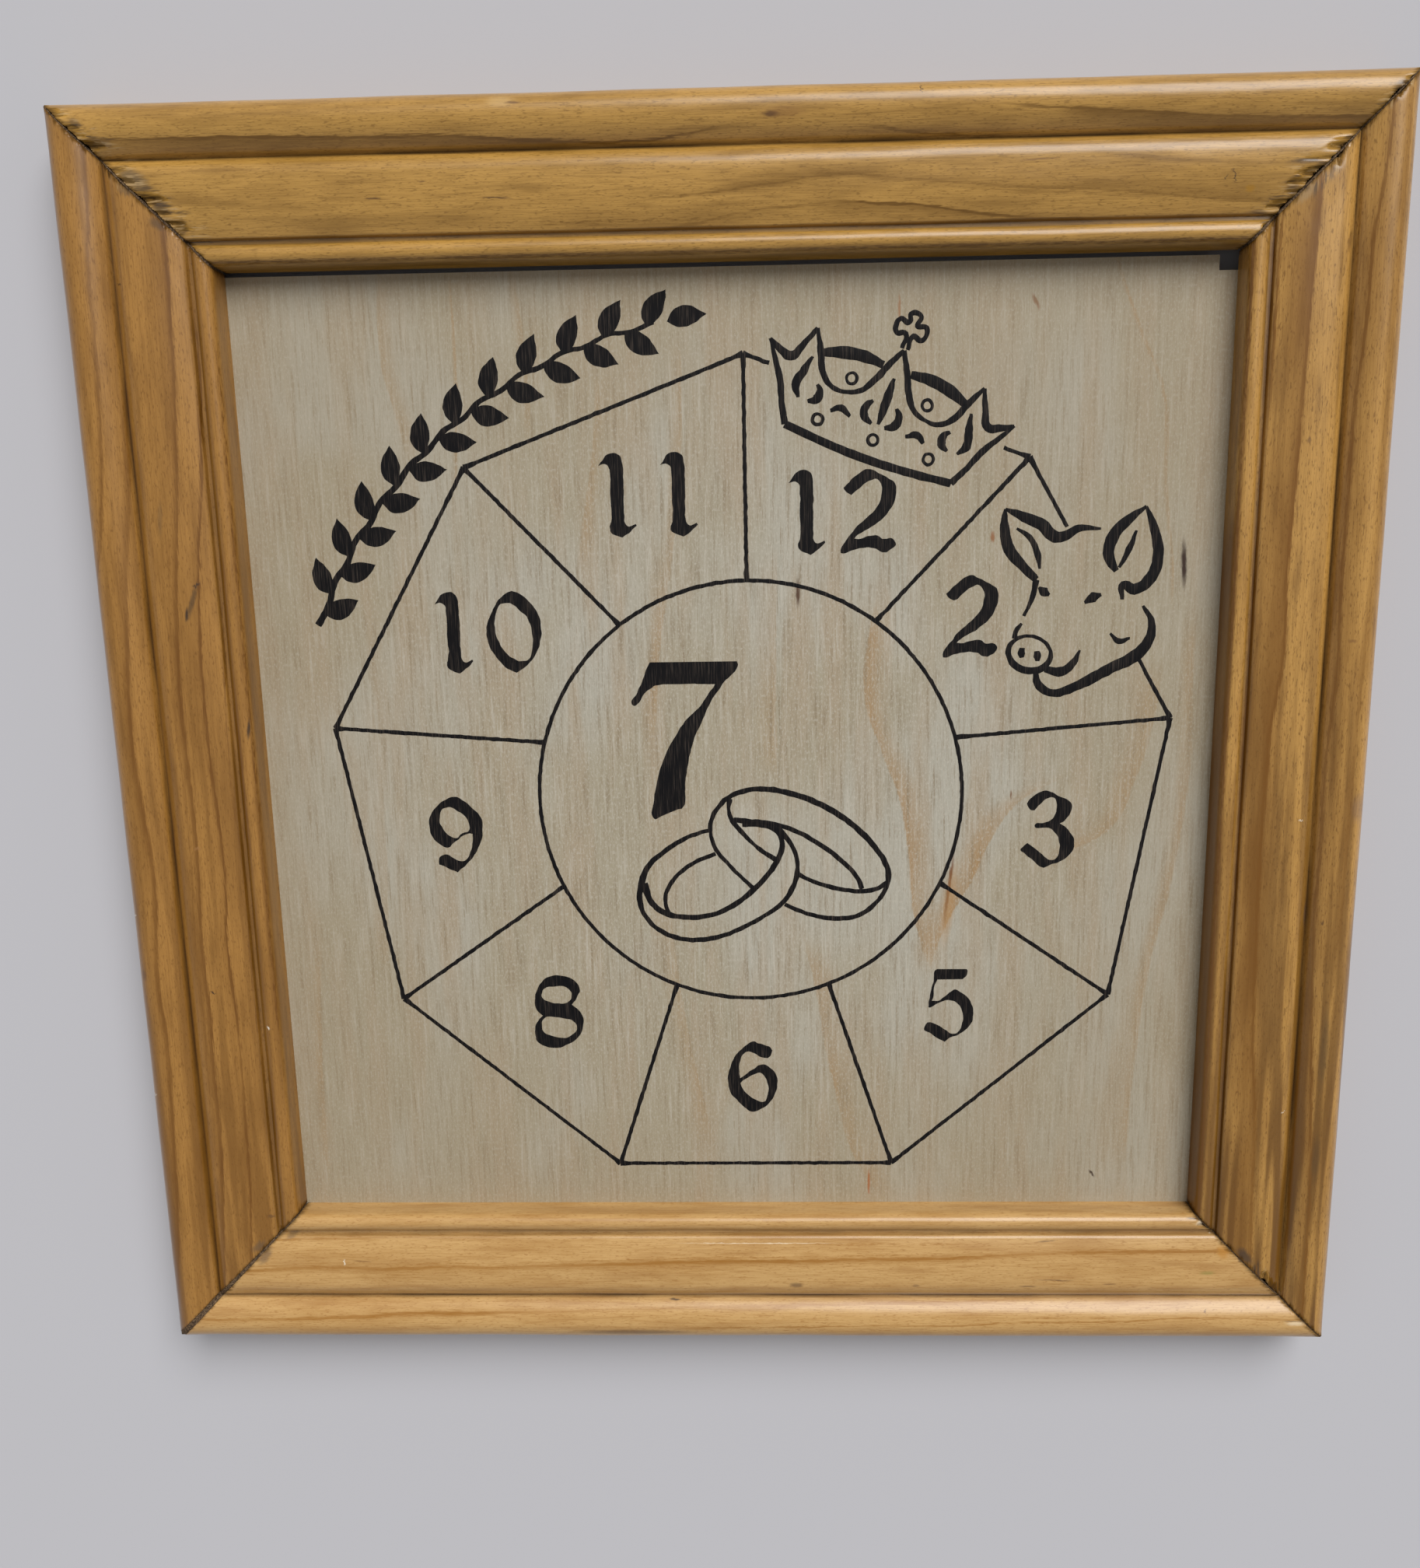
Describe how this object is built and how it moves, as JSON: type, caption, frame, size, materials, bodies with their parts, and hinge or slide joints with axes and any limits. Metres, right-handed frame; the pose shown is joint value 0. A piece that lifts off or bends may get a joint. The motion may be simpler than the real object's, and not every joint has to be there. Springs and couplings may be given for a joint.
{
  "type": "dice game board",
  "caption": "Square wooden tray for a dice and coin game: a thin plywood field with an engraved nine-sided figure, set in the rebate of a raised, mitred pine moulding.",
  "frame": {"origin": "centre of the outer square, on the back plane that the board lies on", "axes": "+X to the right across the field, +Y to the top edge of the field, +Z out of the playing face"},
  "size_m": [0.376, 0.376, 0.022],
  "materials": {
    "pine_moulding": "golden pine under a thin satin varnish",
    "plywood": "pale grey-beige plywood, sanded and nearly bare",
    "mitre_filler": "dull grey-brown wood filler and old glue",
    "steel": "plain blued-grey sheet steel",
    "field_ink": "flat brown-black drawn or burnt lines and figures"
  },
  "bodies": {
    "root": {"bottom_rail": "pine_moulding", "game_panel": "plywood", "holding_point_bottom_1": "steel", "holding_point_bottom_2": "steel", "holding_point_bottom_3": "steel", "holding_point_left_1": "steel", "holding_point_left_2": "steel", "holding_point_left_3": "steel", "holding_point_right_1": "steel", "holding_point_right_2": "steel", "holding_point_right_3": "steel", "left_rail": "pine_moulding", "mitre_filler_bottom_left": "mitre_filler", "mitre_filler_bottom_right": "mitre_filler", "mitre_filler_top_left": "mitre_filler", "mitre_filler_top_right": "mitre_filler", "right_rail": "pine_moulding", "top_rail": "pine_moulding", "v_nail_bottom_left_inner": "steel", "v_nail_bottom_left_outer": "steel", "v_nail_bottom_right_inner": "steel", "v_nail_bottom_right_outer": "steel", "v_nail_top_left_inner": "steel", "v_nail_top_left_outer": "steel", "v_nail_top_right_inner": "steel", "v_nail_top_right_outer": "steel"}
  },
  "joints": []
}
